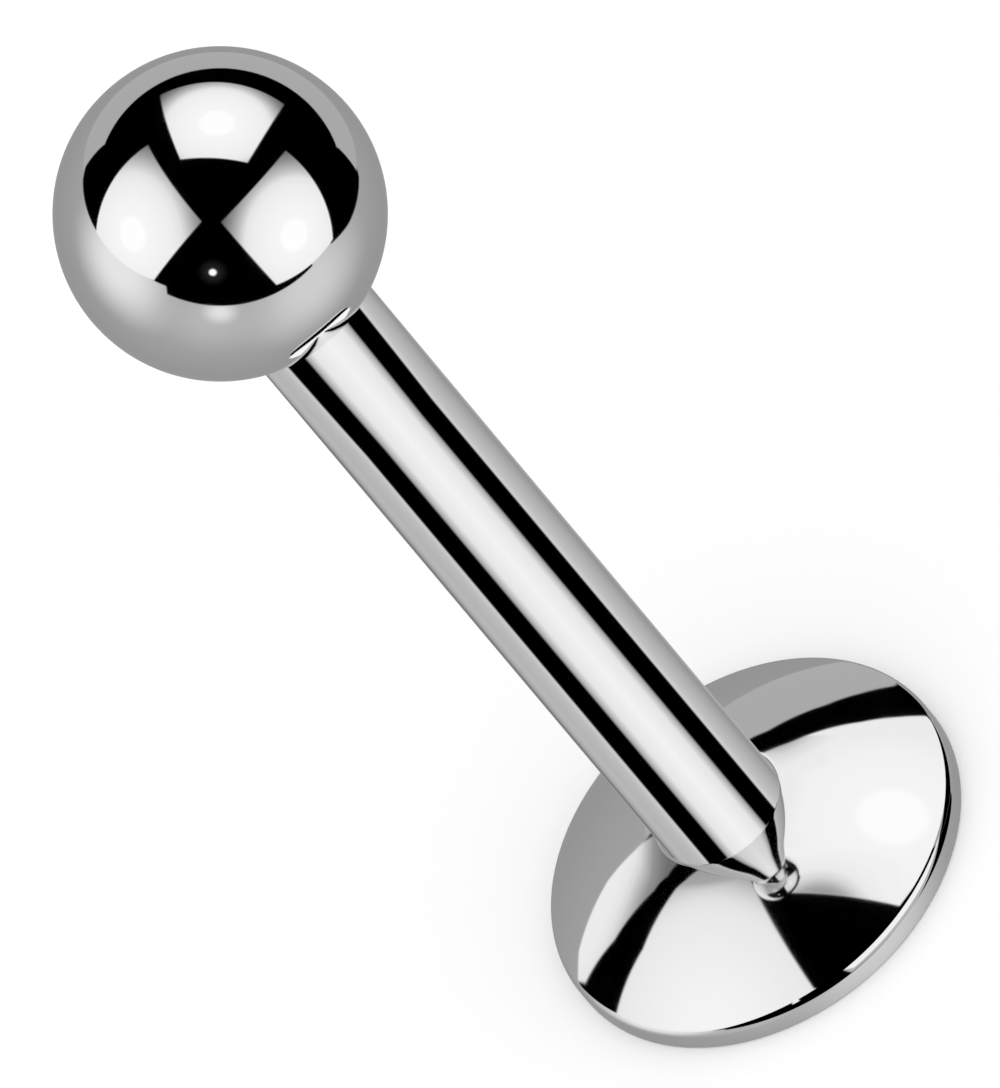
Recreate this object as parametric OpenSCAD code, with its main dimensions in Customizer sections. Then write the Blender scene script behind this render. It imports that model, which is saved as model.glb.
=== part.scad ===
// Labret stud: a post with a domed disc pressed on its lower end, and a ball that screws into
// its upper end. It stands on the disc's flat underside, at z = 0, with the post's axis on Z.

/* [Post] */
// Diameter of the post, which is the jewellery's gauge
post_d = 1.2; // [1.1:0.05:1.6]
// Length of post that is free between the disc and the ball
wear_len = 8.25; // [4:0.25:16]
// Diameter of the spigot that is pressed into the disc
spigot_d = 0.8; // [0.5:0.05:1]

/* [Ball] */
// Diameter of the ball
ball_d = 2.92; // [2:0.02:6]
// Diameter over the crests of the thread on the ball's stem
thread_d = 0.88; // [0.7:0.01:0.95]
// Length of the threaded stem, from the ball's flat to its tip
stem_len = 1.6; // [1:0.1:3]
// Lead chamfer at the tip of the stem
stem_chamfer = 0.12; // [0.05:0.01:0.2]

/* [Bore in the post] */
// Room left in the bore past the tip of the stem
bore_spare = 0.15; // [0.05:0.05:0.5]
// Chamfer round the mouth of the bore
bore_chamfer = 0.04; // [0.01:0.01:0.06]
// Angle of the drill point at the bottom of the bore
drill_angle = 118; // [90:1:140]

/* [Base disc] */
// Diameter of the disc
disc_d = 3.98; // [3:0.02:6]
// Height of the disc's straight rim
rim_h = 0.235; // [0.15:0.005:0.6]
// Rise of the domed face, from the top of the rim to the foot of the post
dome_rise = 0.645; // [0.3:0.005:1]
// Depth of the flat seat that the foot of the post stands in
seat_depth = 0.05; // [0.02:0.01:0.2]
// Chamfer round the disc's underside
rim_chamfer = 0.02; // [0.01:0.01:0.05]

/* [Fits] */
// Gap on each side of the post's foot and spigot, in the disc
press_gap = 0.015; // [0.01:0.005:0.03]
// Gap on each side of the thread's crests, in the post's bore
thread_gap = 0.02; // [0.01:0.005:0.03]
// Gap between two faces that bear on each other
face_gap = 0.01; // [0.005:0.005:0.03]

/* [Hidden] */
$fn = 96;

// How far a cut runs on past the face that it starts from
over = 0.5;

// The third side of a right-angled triangle, from its longest side and another
function leg(longest, other) = sqrt(longest * longest - other * other);

post_r = post_d / 2;
spigot_r = spigot_d / 2;
stem_r = thread_d / 2;
ball_r = ball_d / 2;
disc_r = disc_d / 2;
seat_r = post_r + press_gap;
bore_r = stem_r + thread_gap;

// The domed face is a part of a sphere, which passes through the top edge of the rim and the
// edge of the post's seat. Its centre lies dome_drop under the top of the rim.
dome_drop = (disc_r * disc_r - seat_r * seat_r - dome_rise * dome_rise) / (2 * dome_rise);
dome_r = sqrt(disc_r * disc_r + dome_drop * dome_drop);

// Heights, from the underside of the disc upwards. The ball's flat is as wide as the post.
foot_z = rim_h + dome_rise;
seat_z = foot_z - seat_depth;
shank_z = seat_z + face_gap;
flat_z = foot_z + wear_len;
post_end_z = flat_z - face_gap;
ball_z = flat_z + leg(ball_r, post_r);
stem_tip_z = flat_z - stem_len;
bore_z = stem_tip_z - bore_spare;

// A round bar from one height to another
module bar(r, from_z, to_z) {
    translate([0, 0, from_z])
        cylinder(r = r, h = to_z - from_z);
}

// A cone from one height to another, with its own radius at each
module taper(from_r, to_r, from_z, to_z) {
    translate([0, 0, from_z])
        cylinder(r1 = from_r, r2 = to_r, h = to_z - from_z);
}

// Domed disc, flat underneath, with a seat and a through hole for the post
module base_disc() {
    color("gainsboro")
    difference() {
        intersection() {
            union() {
                taper(disc_r - rim_chamfer, disc_r, 0, rim_chamfer);
                bar(disc_r, rim_chamfer, foot_z + over);
            }
            translate([0, 0, rim_h - dome_drop])
                sphere(r = dome_r);
        }
        bar(seat_r, seat_z, foot_z + over);
        bar(spigot_r + press_gap, -over, foot_z);
    }
}

// Turned post: spigot below, full-width shank, and a blind bore in its upper end
module post() {
    drill_point_h = bore_r / tan(drill_angle / 2);
    color("silver")
    difference() {
        union() {
            bar(spigot_r, 0, shank_z);
            bar(post_r, shank_z, post_end_z);
        }
        bar(bore_r, bore_z, post_end_z + over);
        taper(0, bore_r, bore_z - drill_point_h, bore_z);
        taper(bore_r, bore_r + bore_chamfer, post_end_z - bore_chamfer, post_end_z);
    }
}

// Ball with a small flat, which bears on the post's end, and a stem with a lead chamfer
module ball() {
    color("lightgray")
    union() {
        difference() {
            translate([0, 0, ball_z])
                sphere(r = ball_r);
            bar(ball_r, flat_z - ball_r, flat_z);
        }
        bar(stem_r, stem_tip_z + stem_chamfer, flat_z);
        taper(stem_r - stem_chamfer, stem_r, stem_tip_z, stem_tip_z + stem_chamfer);
    }
}

base_disc();
post();
ball();
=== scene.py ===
import math

import bmesh
import bpy
from mathutils import Matrix, Vector


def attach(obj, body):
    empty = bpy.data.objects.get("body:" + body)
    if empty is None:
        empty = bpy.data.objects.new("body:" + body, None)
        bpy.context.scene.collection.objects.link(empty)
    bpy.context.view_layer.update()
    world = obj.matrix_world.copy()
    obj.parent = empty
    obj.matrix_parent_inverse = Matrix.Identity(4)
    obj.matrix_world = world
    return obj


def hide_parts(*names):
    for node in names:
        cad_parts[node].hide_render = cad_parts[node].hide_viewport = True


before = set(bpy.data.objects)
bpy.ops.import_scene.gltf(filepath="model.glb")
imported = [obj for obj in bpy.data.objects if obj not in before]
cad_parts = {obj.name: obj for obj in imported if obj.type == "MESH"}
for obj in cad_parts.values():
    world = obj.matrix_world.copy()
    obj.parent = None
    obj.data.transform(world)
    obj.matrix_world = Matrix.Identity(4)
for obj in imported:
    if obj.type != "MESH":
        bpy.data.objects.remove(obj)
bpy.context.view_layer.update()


# ---- Base disc -------------------------------------------------------------------------------
# The flat-backed, domed disc that lies inside the lip. It is turned from surgical steel bar,
# drilled through for the post's spigot, and buffed all over to a mirror.

MM, MICRON = 0.001, 0.000001
TURN = 2 * math.pi
AXIS = (0, 0, 1)

# How near two vertices lie to count as one, how near a vertex lies to a ring that it is on, and
# the bend past which an edge stays sharp.
SAME, ON_RING, CREASE = 1e-7, 2e-7, math.radians(33)


def line(shape, start, r, z):
    """Draws the profile straight on from a vertex to a radius and a height, in millimetres."""
    made = bmesh.ops.extrude_vert_indiv(shape, verts=[start])["verts"][0]
    made.co = (r * MM, 0, z * MM)
    return made


def arc(shape, start, centre_r, centre_z, angle, steps):
    """Draws the profile on along a circle with this centre, and gives its last vertex."""
    made = bmesh.ops.spin(shape, geom=[start], cent=(centre_r * MM, 0, centre_z * MM),
                          axis=(0, 1, 0), dvec=(0, 0, 0), angle=angle, steps=steps,
                          use_merge=False)
    return [g for g in made["geom_last"] if isinstance(g, bmesh.types.BMVert)][0]


def lathe(shape, steps):
    """Spins the drawn profile once round the axis and closes its seam and its poles."""
    bmesh.ops.spin(shape, geom=shape.verts[:] + shape.edges[:], cent=(0, 0, 0), axis=AXIS,
                   dvec=(0, 0, 0), angle=TURN, steps=steps, use_merge=True)
    bmesh.ops.remove_doubles(shape, verts=shape.verts, dist=SAME)
    bmesh.ops.dissolve_degenerate(shape, edges=shape.edges, dist=SAME / 10)
    bmesh.ops.recalc_face_normals(shape, faces=shape.faces)


def round_edge(shape, r, z, width, segments):
    """Breaks the round edge at a radius and a height with a small radius, in millimetres."""
    ring = [e for e in shape.edges
            if all(abs(math.hypot(v.co.x, v.co.y) - r * MM) < ON_RING
                   and abs(v.co.z - z * MM) < ON_RING for v in e.verts)]
    bmesh.ops.bevel(shape, geom=ring, offset=width * MM, offset_type="OFFSET", affect="EDGES",
                    segments=segments, profile=0.5, material=-1, clamp_overlap=True)


def make_piece(shape, name, body):
    """Turns the finished shape into a smooth-shaded piece that rides on a body."""
    for face in shape.faces:
        face.smooth = True
    for edge in shape.edges:
        edge.smooth = edge.is_manifold and edge.calc_face_angle() < CREASE
    mesh = bpy.data.meshes.new(name)
    shape.to_mesh(mesh)
    shape.free()
    piece = bpy.data.objects.new(name, mesh)
    bpy.context.scene.collection.objects.link(piece)
    flats = piece.modifiers.new("even_shading", "WEIGHTED_NORMAL")
    flats.keep_sharp = True
    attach(piece, body)
    return piece


def colour(code):
    """Linear colour of an sRGB hex value."""
    parts = [int(code[i:i + 2], 16) / 255 for i in (1, 3, 5)]
    return [c / 12.92 if c <= 0.04045 else ((c + 0.055) / 1.055) ** 2.4 for c in parts] + [1]


def add(tree, kind, settings=(), inputs=()):
    """Adds one node with its settings. Each input is a value, or an output to link from."""
    node = tree.nodes.new(kind)
    for key, value in dict(settings).items():
        setattr(node, key, value)
    for key, value in dict(inputs).items():
        if isinstance(value, bpy.types.NodeSocket):
            tree.links.new(value, node.inputs[key])
        else:
            node.inputs[key].default_value = value
    return node


def new_material(name):
    """A material with no nodes in it yet, and its node tree."""
    material = bpy.data.materials.new(name)
    material.use_nodes = True
    material.node_tree.nodes.clear()
    return material, material.node_tree


# The dome is part of a sphere through the rim's top edge and the foot of the post. Buffing has
# rounded the rim's edge, and has worn a tighter shoulder on the dome round the foot of the post.
disc_r, rim_h, foot_r, foot_z = 1.99, 0.235, 0.6, 0.88
seat_r, seat_z, hole_r = 0.604, 0.83, 0.415
rim_round, shoulder_r, shoulder_edge_r, foot_round = 0.12, 1.6, 0.86, 0.012
under_chamfer, under_round = 0.02, 0.008
dome_rise = foot_z - rim_h
dome_drop = (disc_r ** 2 - foot_r ** 2 - dome_rise ** 2) / (2 * dome_rise)
dome_z, dome_r = rim_h - dome_drop, math.hypot(disc_r, dome_drop)

# Each arc's centre, and the lean of the surface where one arc passes into the next.
rim_lean = math.asin((disc_r - rim_round) / (dome_r - rim_round))
rim_z = dome_z + (dome_r - rim_round) * math.cos(rim_lean)
shoulder_lean = math.asin(shoulder_edge_r / dome_r)
shoulder_x = shoulder_edge_r - shoulder_r * math.sin(shoulder_lean)
shoulder_z = dome_z + (dome_r - shoulder_r) * math.cos(shoulder_lean)
foot_x = seat_r + foot_round
foot_lean = math.asin((foot_x - shoulder_x) / (shoulder_r - foot_round))
foot_centre_z = shoulder_z + (shoulder_r - foot_round) * math.cos(foot_lean)

shape = bmesh.new()
first = shape.verts.new((hole_r * MM, 0, 0))
spot = line(shape, first, disc_r - under_chamfer, 0)
spot = line(shape, spot, disc_r, under_chamfer)
spot = line(shape, spot, disc_r, rim_z)
spot = arc(shape, spot, disc_r - rim_round, rim_z, rim_lean - math.pi / 2, steps=24)
spot = arc(shape, spot, 0, dome_z, shoulder_lean - rim_lean, steps=56)
spot = arc(shape, spot, shoulder_x, shoulder_z, foot_lean - shoulder_lean, steps=12)
spot = arc(shape, spot, foot_x, foot_centre_z, -math.pi / 2 - foot_lean, steps=8)
spot = line(shape, spot, seat_r, seat_z)
spot = line(shape, spot, hole_r, seat_z)
shape.edges.new((spot, first))
lathe(shape, steps=384)
round_edge(shape, disc_r, under_chamfer, under_round, segments=2)
base_disc = make_piece(shape, "base_disc_turned", "stud")
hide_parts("base_disc")


def steel(name, shade, roughness, wave_size, wave_depth, line_sizes, line_depth):
    """Mirror-polished 316L: slow waves that bend what it reflects, and fine lines left under the
    polish, whose sizes are along X, Y and Z. Sizes are in millimetres, and depths in microns."""
    material, tree = new_material(name)
    place = add(tree, "ShaderNodeTexCoord")
    waves = add(tree, "ShaderNodeTexNoise", inputs={
        "Vector": place.outputs["Object"], "Scale": 1 / (wave_size * MM), "Detail": 1.0,
        "Roughness": 0.4})
    bent = add(tree, "ShaderNodeBump", inputs={
        "Height": waves.outputs["Fac"], "Strength": 0.5, "Distance": wave_depth * MICRON})
    stretch = add(tree, "ShaderNodeMapping", inputs={
        "Vector": place.outputs["Object"], "Scale": [1 / (size * MM) for size in line_sizes]})
    lines = add(tree, "ShaderNodeTexNoise", inputs={
        "Vector": stretch.outputs["Vector"], "Scale": 1.0, "Detail": 3.0, "Roughness": 0.6})
    scored = add(tree, "ShaderNodeBump", inputs={
        "Height": lines.outputs["Fac"], "Strength": 0.5, "Distance": line_depth * MICRON,
        "Normal": bent.outputs["Normal"]})
    gloss = add(tree, "ShaderNodeMapRange", inputs={
        "Value": lines.outputs["Fac"], "From Min": 0.3, "From Max": 0.7,
        "To Min": roughness[0], "To Max": roughness[1]})
    metal = add(tree, "ShaderNodeBsdfPrincipled", inputs={
        "Base Color": colour(shade), "Metallic": 1.0, "Roughness": gloss.outputs["Result"],
        "Normal": scored.outputs["Normal"]})
    add(tree, "ShaderNodeOutputMaterial", inputs={"Surface": metal.outputs["BSDF"]})
    return material


# 316L steel, turned and then buffed with a soft mop: a mirror with a slow waviness, and faint
# lines 0.2 mm apart that the mop left across the dome.
base_disc.data.materials.append(steel(
    "buffed_316L_steel", "#E4E4E4", roughness=(0.03, 0.05), wave_size=1.4286, wave_depth=1.5,
    line_sizes=(0.2, 0.8333, 0.8333), line_depth=0.02))


# ---- Post ------------------------------------------------------------------------------------
# The straight bar of the stud. It is ground to gauge and mirror-polished, its lower end is
# turned down to a spigot and pressed into the disc, and its upper end is drilled and tapped.

post_r, spigot_r, shank_z, post_end_z, end_round = 0.6, 0.4, 0.84, 9.12, 0.012
bore_r, bore_z, bore_point_z, mouth_chamfer = 0.46, 7.38, 7.1036, 0.04

# The tapped thread: its pitch, the radius of its grooves, its crests' and grooves' flats, the
# heights between which it is cut, and the height from which its grooves run in.
pitch, steps_per_turn = 0.225, 72
groove_r, bore_land, groove_flat = 0.5, 0.07, 0.06
tap_low, tap_run_in, tap_high = bore_z + 0.02, bore_z + 0.04, post_end_z - 0.05


def screw(inner_r, outer_r, inner_flat, outer_flat, low, high, limit):
    """Winds a right-hand thread round the axis, cut off square at two heights and open at both
    ends. Where the limit gives a smaller radius at a height, the thread is turned down to it."""
    thread = bmesh.new()
    flank = (pitch - inner_flat - outer_flat) / 2
    z = low - 2 * pitch
    tooth = [thread.verts.new((inner_r * MM, 0, z * MM))]
    for r, rise in ((inner_r, inner_flat), (outer_r, flank), (outer_r, outer_flat),
                    (inner_r, flank)):
        z += rise
        tooth.append(thread.verts.new((r * MM, 0, z * MM)))
    tooth += [thread.edges.new(pair) for pair in zip(tooth, tooth[1:])]
    turns = math.ceil((high - low) / pitch) + 3
    bmesh.ops.spin(thread, geom=tooth, cent=(0, 0, 0), axis=AXIS, angle=TURN * turns,
                   dvec=(0, 0, pitch / steps_per_turn * MM), steps=steps_per_turn * turns,
                   use_merge=False)
    for height, side in ((low, -1), (high, 1)):
        bmesh.ops.bisect_plane(thread, geom=thread.verts[:] + thread.edges[:] + thread.faces[:],
                               dist=SAME / 100, plane_co=(0, 0, height * MM),
                               plane_no=(0, 0, side), clear_outer=True, clear_inner=False)
    # The cuts leave slivers where they pass close to a vertex.
    bmesh.ops.remove_doubles(thread, verts=thread.verts, dist=5 * SAME)
    for v in thread.verts:
        r = math.hypot(v.co.x, v.co.y)
        share = min(1, limit(v.co.z / MM) * MM / r)
        v.co.x, v.co.y = v.co.x * share, v.co.y * share
    return thread


def close_between(shape, other, heights):
    """Adds another shape, and bridges the open rings that lie at each pair of heights."""
    mesh = bpy.data.meshes.new("other")
    other.to_mesh(mesh)
    other.free()
    shape.from_mesh(mesh)
    bpy.data.meshes.remove(mesh)
    for pair in heights:
        rings = [e for e in shape.edges if e.is_boundary
                 and any(all(abs(v.co.z - z * MM) < ON_RING for v in e.verts) for z in pair)]
        bmesh.ops.bridge_loops(shape, edges=rings)
    bmesh.ops.recalc_face_normals(shape, faces=shape.faces)


# The shank's side is drawn in six lengths, so that none of its faces is a long sliver.
shape = bmesh.new()
first = shape.verts.new((0, 0, 0))
spot = line(shape, first, spigot_r, 0)
spot = line(shape, spot, spigot_r, shank_z)
spot = line(shape, spot, post_r, shank_z)
for z in (1.5, 3.0, 4.5, 6.0, 7.5, post_end_z):
    spot = line(shape, spot, post_r, z)
spot = line(shape, spot, bore_r + mouth_chamfer, post_end_z)
line(shape, spot, bore_r, post_end_z - mouth_chamfer)
first = shape.verts.new((bore_r * MM, 0, bore_z * MM))
line(shape, first, 0, bore_point_z)
lathe(shape, steps=192)
round_edge(shape, post_r, post_end_z, end_round, segments=3)
tapped = screw(bore_r, groove_r, bore_land, groove_flat, tap_low, tap_high,
               lambda z: bore_r + max(0, min(z - tap_run_in, tap_high - z)))
close_between(shape, tapped, ((tap_high, post_end_z - mouth_chamfer), (bore_z, tap_low)))
post = make_piece(shape, "post_polished", "stud")
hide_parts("post")

# 316L bar, centreless ground and then polished along its length: the straightest mirror of the
# three, with hairlines 0.11 mm apart that run along the bar.
post.data.materials.append(steel(
    "ground_and_polished_316L_bar", "#E2E2E2", roughness=(0.025, 0.045), wave_size=2.0,
    wave_depth=0.8, line_sizes=(0.1111, 0.1111, 3.3333), line_depth=0.02))


# ---- Ball ------------------------------------------------------------------------------------
# The ball that closes the stud. It is a tumbled and polished steel ball with a small flat, and
# a threaded stem on the flat that screws into the post.

ball_r, ball_z, flat_z = 1.46, 10.4611, 9.13
flat_angle = math.pi - math.asin(post_r / ball_r)

# The stem, the radius of its thread's roots, their flats and the crests' flats, the chamfer on
# its tip, and the heights between which the thread runs in and out.
stem_r, root_r, stem_tip_z, tip_chamfer = 0.44, 0.32, 7.53, 0.01
root_flat, crest_flat = 0.056, 0.028
stem_low, stem_high = stem_tip_z + tip_chamfer, flat_z - 0.01
stem_run_in, stem_run_out, run_out_slope = stem_tip_z + 0.02, flat_z - 0.09, 2

shape = bmesh.new()
first = shape.verts.new((0, 0, (ball_z + ball_r) * MM))
spot = arc(shape, first, 0, ball_z, flat_angle, steps=120)
line(shape, spot, stem_r, flat_z)
first = shape.verts.new(((root_r - tip_chamfer) * MM, 0, stem_tip_z * MM))
line(shape, first, 0, stem_tip_z)
lathe(shape, steps=256)
stem = screw(root_r, stem_r, root_flat, crest_flat, stem_low, stem_high,
             lambda z: root_r + max(0, min(z - stem_run_in, (stem_run_out - z) * run_out_slope)))
close_between(shape, stem, ((stem_tip_z, stem_low), (stem_high, flat_z)))
ball = make_piece(shape, "ball_polished", "ball")
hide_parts("ball")

# 316L ball, ground and then tumble-polished: an even mirror, very slightly orange-peeled, with
# no direction in its finish.
ball.data.materials.append(steel(
    "tumbled_316L_ball", "#E6E6E6", roughness=(0.03, 0.05), wave_size=1.1111, wave_depth=1.2,
    line_sizes=(0.25, 0.25, 0.25), line_depth=0.02))


# ---- Floor -----------------------------------------------------------------------------------
# A plain pale table that the stud stands on. It is seen and it takes the soft shadow, but it is
# out of the steel's reflections, and it doesn't hide the underside from a view from below.

FLOOR_HALF = 1.5

shape = bmesh.new()
bmesh.ops.create_grid(shape, x_segments=1, y_segments=1, size=FLOOR_HALF)
mesh = bpy.data.meshes.new("floor")
shape.to_mesh(mesh)
shape.free()
floor = bpy.data.objects.new("floor", mesh)
bpy.context.scene.collection.objects.link(floor)
floor.visible_glossy = False

# Uncoated white paper: matt and even, with no shine. Its back is clear.
paper, tree = new_material("matt_white_paper")
matt = add(tree, "ShaderNodeBsdfDiffuse", inputs={"Color": colour("#FCFCFC"), "Roughness": 0.9})
clear = add(tree, "ShaderNodeBsdfTransparent")
side = add(tree, "ShaderNodeNewGeometry")
mixed = add(tree, "ShaderNodeMixShader", inputs={
    0: side.outputs["Backfacing"], 1: matt.outputs["BSDF"], 2: clear.outputs["BSDF"]})
add(tree, "ShaderNodeOutputMaterial", inputs={"Surface": mixed.outputs["Shader"]})
floor.data.materials.append(paper)


# ---- Studio ----------------------------------------------------------------------------------
# Each piece has its own light tent, a big sphere that shines only on it. The ball's and the
# disc's have three softboxes round the camera, black flags and pale walls, and the post's has
# one tall strip light. Directions are in degrees to the right of the camera and above it.

RIGHT = Vector((0.76627, -0.45433, -0.45433))
UP = Vector((0.64252, 0.54184, 0.54184))
BACK = Vector((0, -math.sqrt(0.5), math.sqrt(0.5)))

CLOTH_GLOW, SKY_GLOW = 1.25, 1.1

# Half the width of a card's soft edge, and the angle at which a card's brightness last changes.
CARD_EDGE, LAST_STOP = 0.5, 70


def toward(longitude, latitude):
    """World direction of an angle to the right of the camera and an angle above it, in degrees."""
    lon, lat = math.radians(longitude), math.radians(latitude)
    return (RIGHT * (math.cos(lat) * math.sin(lon)) + UP * math.sin(lat)
            + BACK * (math.cos(lat) * math.cos(lon)))


def tent(name, piece, radius, paint):
    """A sphere round the set that only this piece reflects, painted by a function of direction."""
    shape = bmesh.new()
    bmesh.ops.create_icosphere(shape, subdivisions=3, radius=radius)
    mesh = bpy.data.meshes.new(name)
    shape.to_mesh(mesh)
    shape.free()
    shell = bpy.data.objects.new(name, mesh)
    bpy.context.scene.collection.objects.link(shell)
    shell.visible_camera = False
    shell.visible_diffuse = False
    shell.visible_shadow = False
    # White tent cloth, lit from outside, with the lamps and the flags behind it.
    material, tree = new_material(name + "_cloth")
    material.cycles.emission_sampling = "NONE"
    place = add(tree, "ShaderNodeTexCoord")
    way = add(tree, "ShaderNodeVectorMath", {"operation": "NORMALIZE"},
              {0: place.outputs["Object"]})
    glow = add(tree, "ShaderNodeEmission", inputs={
        "Color": paint(tree, way.outputs["Vector"]), "Strength": CLOTH_GLOW})
    clear = add(tree, "ShaderNodeBsdfTransparent")
    both = add(tree, "ShaderNodeAddShader", inputs={
        0: glow.outputs["Emission"], 1: clear.outputs["BSDF"]})
    add(tree, "ShaderNodeOutputMaterial", inputs={"Surface": both.outputs["Shader"]})
    mesh.materials.append(material)
    lit = bpy.data.collections.new(name + "_lights")
    lit.objects.link(piece)
    shell.light_linking.receiver_collection = lit


def inside_card(tree, way, corners):
    """How far a direction lies inside a straight-sided card with these corners, from 0 to 1."""
    points = [toward(*c) for c in corners]
    middle = sum(points, Vector((0, 0, 0)))
    inside = None
    for a, b in zip(points, points[1:] + points[:1]):
        edge = a.cross(b).normalized()
        edge = edge if edge.dot(middle) > 0 else -edge
        dot = add(tree, "ShaderNodeVectorMath", {"operation": "DOT_PRODUCT"},
                  {0: way, 1: edge}).outputs["Value"]
        if inside is not None:
            dot = add(tree, "ShaderNodeMath", {"operation": "MINIMUM"},
                      {0: inside, 1: dot}).outputs["Value"]
        inside = dot
    half = math.sin(math.radians(CARD_EDGE))
    return add(tree, "ShaderNodeMapRange", {"interpolation_type": "SMOOTHSTEP"},
               {"Value": inside, "From Min": -half, "From Max": half}).outputs["Result"]


def angle_from(tree, way, centre):
    """Angle between a direction and a centre, in degrees."""
    dot = add(tree, "ShaderNodeVectorMath", {"operation": "DOT_PRODUCT"},
              {0: way, 1: toward(*centre)})
    bend = add(tree, "ShaderNodeMath", {"operation": "ARCCOSINE"}, {0: dot.outputs["Value"]})
    return add(tree, "ShaderNodeMath", {"operation": "DEGREES"},
               {0: bend.outputs["Value"]}).outputs["Value"]


def shade_by(tree, angle, low, high, stops):
    """A colour that follows an angle, through stops of angle and hex colour."""
    share = add(tree, "ShaderNodeMapRange", inputs={
        "Value": angle, "From Min": low, "From Max": high})
    node = add(tree, "ShaderNodeValToRGB", inputs={"Fac": share.outputs["Result"]})
    while len(node.color_ramp.elements) < len(stops):
        node.color_ramp.elements.new(1)
    for element, (at, code) in zip(node.color_ramp.elements, stops):
        element.position = (at - low) / (high - low)
        element.color = colour(code)
    return node.outputs["Color"]


def plain(code):
    """Cloth of one brightness all over."""
    return (0, 0), [(0, code), (60, code)]


def lit_room(layers):
    """Paints pale walls, and lays the layers on them in turn. A layer is a soft glow (centre,
    inner and outer angle, colour) or a card (corners, the lamp's centre, brightness by angle)."""
    def paint(tree, way):
        light = colour("#A2A2A2")
        for layer in layers:
            if len(layer) == 4:
                centre, inner, outer, code = layer
                cover = add(tree, "ShaderNodeMapRange", {"interpolation_type": "SMOOTHSTEP"},
                            {"Value": angle_from(tree, way, centre), "From Min": outer,
                             "From Max": inner}).outputs["Result"]
                cloth = colour(code)
            else:
                corners, (centre, stops) = layer
                cover = inside_card(tree, way, corners)
                cloth = shade_by(tree, angle_from(tree, way, centre), 0, LAST_STOP, stops)
            light = add(tree, "ShaderNodeMix", {"data_type": "RGBA"},
                        {"Factor": cover, 6: light, 7: cloth}).outputs[2]
        return light
    return paint


# The ball's and the disc's tents have these in common: the lighter and darker parts of the
# walls, the black flags low in front, across the back of the softboxes and at the right, and
# the bright middle of a softbox.
BLACK = plain("#000000")
WALLS = [((180, 0), 15, 85, "#909090"), ((-84, -27), 6, 46, "#E6E6E6"),
         ((86, -38), 5, 50, "#CECECE"), ((-20, -78), 0, 40, "#B8B8B8")]
FLAGS = [([(-56.4, -51.6), (-52, -46.7), (0, -30), (60, -20), (77, -28.5)], BLACK),
         ([(-85, -5), (-60, 30), (60, 30), (80, -10), (-52, -46.7), (-60, -41.7)], BLACK),
         ([(109.9, 28.4), (115, 24), (120.4, 18.3), (118.8, 13.6), (100.7, -4), (86.7, -14.9),
           (60, -10), (60, 30)], BLACK)]
LAMP = [(9, "#FFFFFF"), (11.5, "#F7F7F7"), (20, "#F4F4F4")]

tent("ball_tent", ball, 4.0, lit_room(WALLS + [
    # A painted reflection of the pale table under the ball, which is itself out of the steel's
    # reflections.
    ((0, -72), 1, 13, "#E2E2E2"),
    # The disc is out of the ball's reflections. These three rounds are a painted reflection of the
    # disc there, painted on the ball's tent.
    ((150.5, -30.4), 8.5, 9.1, "#DCDCDC"),
    ((151.8, -29.4), 8.5, 9.1, "#000000"),
    ((155.8, -26.1), 7.9, 8.5, "#F4F4F4")] + FLAGS + [
    # A flag at the left, and one over the back.
    ([(-108.5, 29.8), (-114.5, 25), (-117.5, 18.5), (-115, 13), (-96, -7.4), (-60, -10),
      (-60, 30)], BLACK),
    ([(-109, 30), (180, 60), (109, 29), (60, 0), (-60, 0)], BLACK),
    # A small lamp under the camera, with its halo.
    ((-6, -41), 1, 11, "#242424"),
    ((-6, -41), 1.5, 3.2, "#FFFFFF"),
    # A pale edge along the flag over the back.
    ([(-109, 30), (109, 29), (118, 16), (-118, 16)], plain("#A8A8A8")),
    # The top, left and right softboxes.
    ([(-32, 36), (22, 34.5), (105, 59), (-119, 60)],
     ((-4, 65), LAMP + [(28, "#EEEEEE"), (31, "#E6E6E6"), (35, "#BEBEBE"), (40, "#8C8C8C"),
                        (46, "#505050")])),
    ([(-66, 41), (-12.5, -5.5), (-60, -41), (-96, -8)],
     ((-64, -12), LAMP + [(30, "#EEEEEE"), (36, "#E4E4E4"), (41, "#C6C6C6"), (46, "#A2A2A2"),
                          (55, "#585858")])),
    ([(57.5, 39), (1, -6), (54, -45.5), (87, -12.5)],
     ((54, -13), LAMP + [(30, "#EEEEEE"), (35, "#E6E6E6"), (40, "#BEBEBE"), (46, "#909090"),
                         (55, "#404040")]))]))

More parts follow.
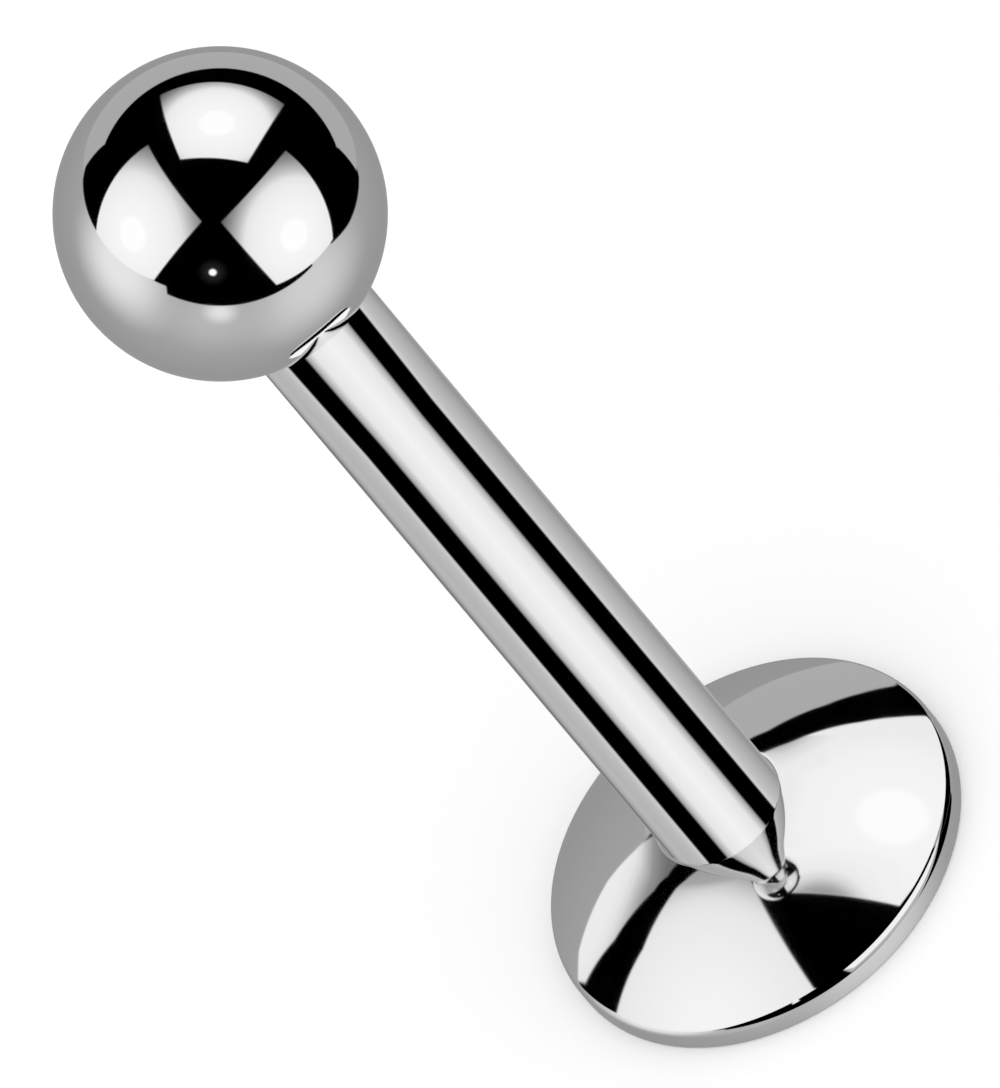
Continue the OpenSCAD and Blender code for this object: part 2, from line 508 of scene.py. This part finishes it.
tent("disc_tent", base_disc, 5.0, lit_room(WALLS + FLAGS + [
    # A flag at the right, behind the top softbox.
    ([(60, 30), (60, 54), (180, 62.4), (109, 29)], BLACK),
    # The top softbox, the fading of its near edge, and a glow at its far left corner.
    ([(-78, 49), (-54, 38), (-34, 32.2), (9, 29), (60, 54), (137, 60), (-125, 58)],
     ((10, 60), [(9, "#FFFFFF"), (11.5, "#F8F8F8"), (25, "#F5F5F5"), (34, "#EFEFEF"),
                 (60, "#EAEAEA")])),
    ([(-38, 33.5), (-34, 32.2), (9, 29), (9, 44), (-42, 46)],
     ((-20, 22), [(10, "#8C8C8C"), (13, "#AAAAAA"), (16, "#D8D8D8"), (19, "#EEEEEE"),
                  (25, "#F4F4F4")])),
    ([(-101, 60), (-116, 71.4), (-120, 80), (-60, 76), (-75, 60)],
     ((-125, 62), [(6, "#8C8C8C"), (10, "#B4B4B4"), (14, "#DCDCDC"), (19, "#EFEFEF")])),
    # The flag over the back, and the wall that starts behind it.
    ([(138, 60), (146, 71.6), (158.7, 76.3), (-164.9, 79.7), (-97, 58.5), (-97, 45),
      (-160, 50), (150, 50)], BLACK),
    ([(-116.5, 59.3), (-98, 47), (-97, 36), (-130, 36), (-135, 61)], plain("#ACACAC")),
    ([(-116.3, 58.9), (-138.7, 65.4), (-157, 67), (-175, 64.3), (173.6, 59.6), (165, 35),
      (-116, 35)], plain("#ABABAB")),
    # The left softbox, a flag at its left, and a lit curtain past the flag.
    ([(-80, 46), (-65, 45.1), (-14, -6.1), (-60, -41), (-100, -12)],
     ((-55, -12), [(0, "#F8F8F8"), (13, "#F6F6F6"), (23, "#F2F2F2"), (33, "#EDEDED"),
                   (37, "#EAEAEA"), (40, "#E2E2E2"), (43.5, "#CBCBCB"), (47, "#A8A8A8"),
                   (52, "#A0A0A0")])),
    ([(-75.5, 41), (-75.8, 33), (-77.4, 26.6), (-83, 11), (-94, -5.5), (-113, -1), (-100, 40)],
     BLACK),
    ([(-97, 41), (-84, 41), (-83.6, 32), (-86.3, 25), (-96.8, 11.6), (-108.7, 1.9),
      (-112.8, 2), (-114.3, 7.4), (-110.5, 21.6), (-104.3, 32.2)],
     ((-120, 18), [(0, "#F0F0F0"), (15, "#EEEEEE"), (19, "#E8E8E8"), (22, "#DADADA"),
                   (24.5, "#C4C4C4"), (29, "#969696"), (35, "#707070")])),
    # The right softbox, whose outer part is dim, and a narrow card beside it.
    ([(57.5, 39), (1, -6), (54, -45.5), (87, -12.5)], plain("#B4B4B4")),
    ([(57.5, 39), (1, -6), (34, -33), (64, 6)], plain("#F4F4F4")),
    ([(-24, -7), (-21.5, -7), (-11, -28), (-14, -30)], plain("#F0F0F0"))]))


def strips(tree, way):
    """The post's tent: a tall strip light in front, black flags beside it and pale walls, by the
    angle round the post from the camera's side."""
    parts = add(tree, "ShaderNodeSeparateXYZ", inputs={0: way})
    front = add(tree, "ShaderNodeMath", {"operation": "MULTIPLY"}, {0: parts.outputs["Y"], 1: -1})
    turn = add(tree, "ShaderNodeMath", {"operation": "ARCTAN2"},
               {0: parts.outputs["X"], 1: front.outputs["Value"]})
    turn = add(tree, "ShaderNodeMath", {"operation": "DEGREES"}, {0: turn.outputs["Value"]})
    return shade_by(tree, turn.outputs["Value"], -180, 180, [
        (-180, "#B0B0B0"), (-157, "#686868"), (-140, "#A8A8A8"), (-126, "#B8B8B8"),
        (-110, "#B6B6B6"), (-90, "#BFBFBF"), (-80, "#D0D0D0"),
        (-77, "#000000"), (-44.5, "#000000"),
        (-41, "#AAAAAA"), (-29, "#EBEBEB"), (0, "#F8F8F8"), (29, "#EBEBEB"), (41, "#AAAAAA"),
        (44.5, "#000000"), (77, "#000000"),
        (80, "#D4D4D4"), (90, "#C3C3C3"), (115, "#AFAFAF"), (145, "#909090"), (180, "#B0B0B0")])


tent("post_tent", post, 6.0, strips)

# The disc reflects the post and the ball, but is out of their reflections.
base_disc.visible_glossy = False

# An even white room round the tents lights the table. The steel doesn't reflect it.
world = bpy.data.worlds.new("white_room")
world.use_nodes = True
world.node_tree.nodes.clear()
sky = add(world.node_tree, "ShaderNodeBackground", inputs={
    "Color": colour("#FFFFFF"), "Strength": SKY_GLOW})
add(world.node_tree, "ShaderNodeOutputWorld", inputs={"Surface": sky.outputs["Background"]})
bpy.context.scene.world = world
world.cycles_visibility.glossy = False
bpy.context.scene.view_settings.view_transform = "Standard"


# ---- Camera ----------------------------------------------------------------------------------
# A long lens, 45 degrees above the table and rolled, as the photograph was taken.

LENS, SENSOR = 1500, 36
FRAME_LENGTH = 9.558
AIM = Vector((0.0195, 0.025, 5.11))

camera_data = bpy.data.cameras.new("camera")
camera_data.lens = LENS
camera_data.sensor_width = SENSOR
camera_data.clip_start, camera_data.clip_end = 0.01, 3
camera = bpy.data.objects.new("camera", camera_data)
bpy.context.scene.collection.objects.link(camera)
camera.location = (AIM + BACK * (FRAME_LENGTH * LENS / SENSOR)) * MM
camera.rotation_euler = Matrix((RIGHT, UP, BACK)).transposed().to_euler()
bpy.context.scene.camera = camera
